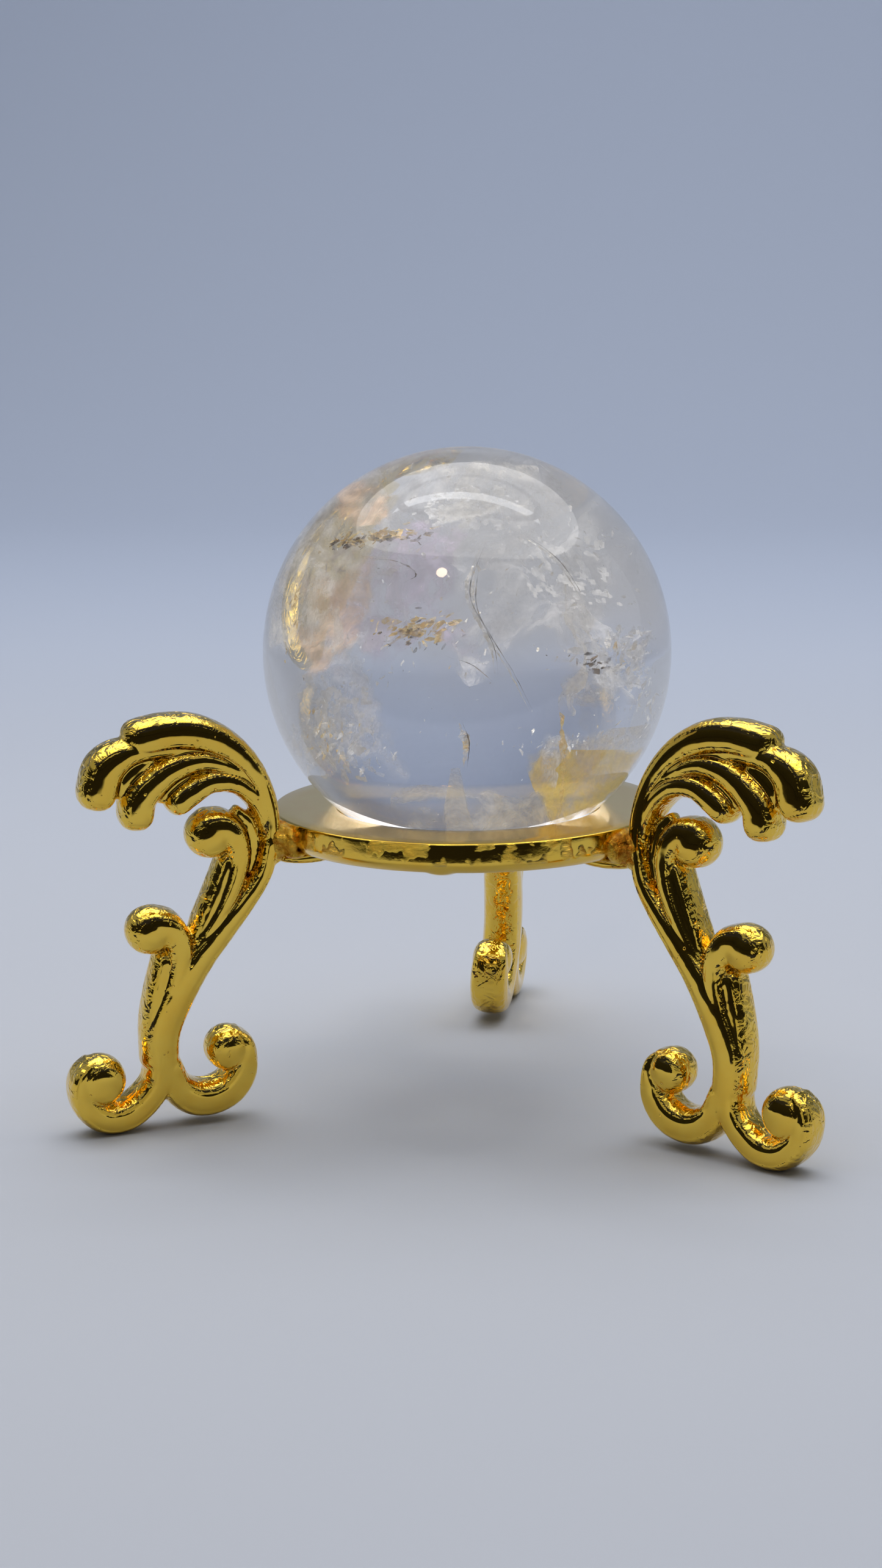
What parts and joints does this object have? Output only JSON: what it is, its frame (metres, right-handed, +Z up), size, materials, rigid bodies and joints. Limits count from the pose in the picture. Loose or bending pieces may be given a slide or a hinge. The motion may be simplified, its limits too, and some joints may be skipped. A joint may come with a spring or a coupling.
{
  "type": "crystal ball",
  "caption": "Clear quartz crystal ball resting in a gold-plated ring carried by cast scroll legs with feathered plumes; the ball lifts out.",
  "frame": {"origin": "on the table, at the middle of the whole object's box", "axes": "+Z up, +X across the two front legs to the right, +Y towards the back leg"},
  "size_m": [0.0726, 0.063, 0.0651],
  "materials": {
    "ball_quartz": "polished, with milky veils and fractures inside",
    "ring_gold": "polished gold plate with a rough cast side wall",
    "leg_gold": "polished gold plate",
    "solder_gold": "lumpy, gold plated"
  },
  "bodies": {
    "stand": {"seat_ring": "ring_gold", "leg_left": "leg_gold", "leg_right": "leg_gold", "leg_back": "leg_gold", "solder_left": "solder_gold", "solder_right": "solder_gold", "solder_back": "solder_gold"},
    "ball": {"crystal_ball": "ball_quartz"}
  },
  "joints": [
    {"name": "ball_lift", "type": "slide", "parent": "stand", "child": "ball", "axis": [0, 0, 1], "range_m": [0, 0.045]}
  ]
}
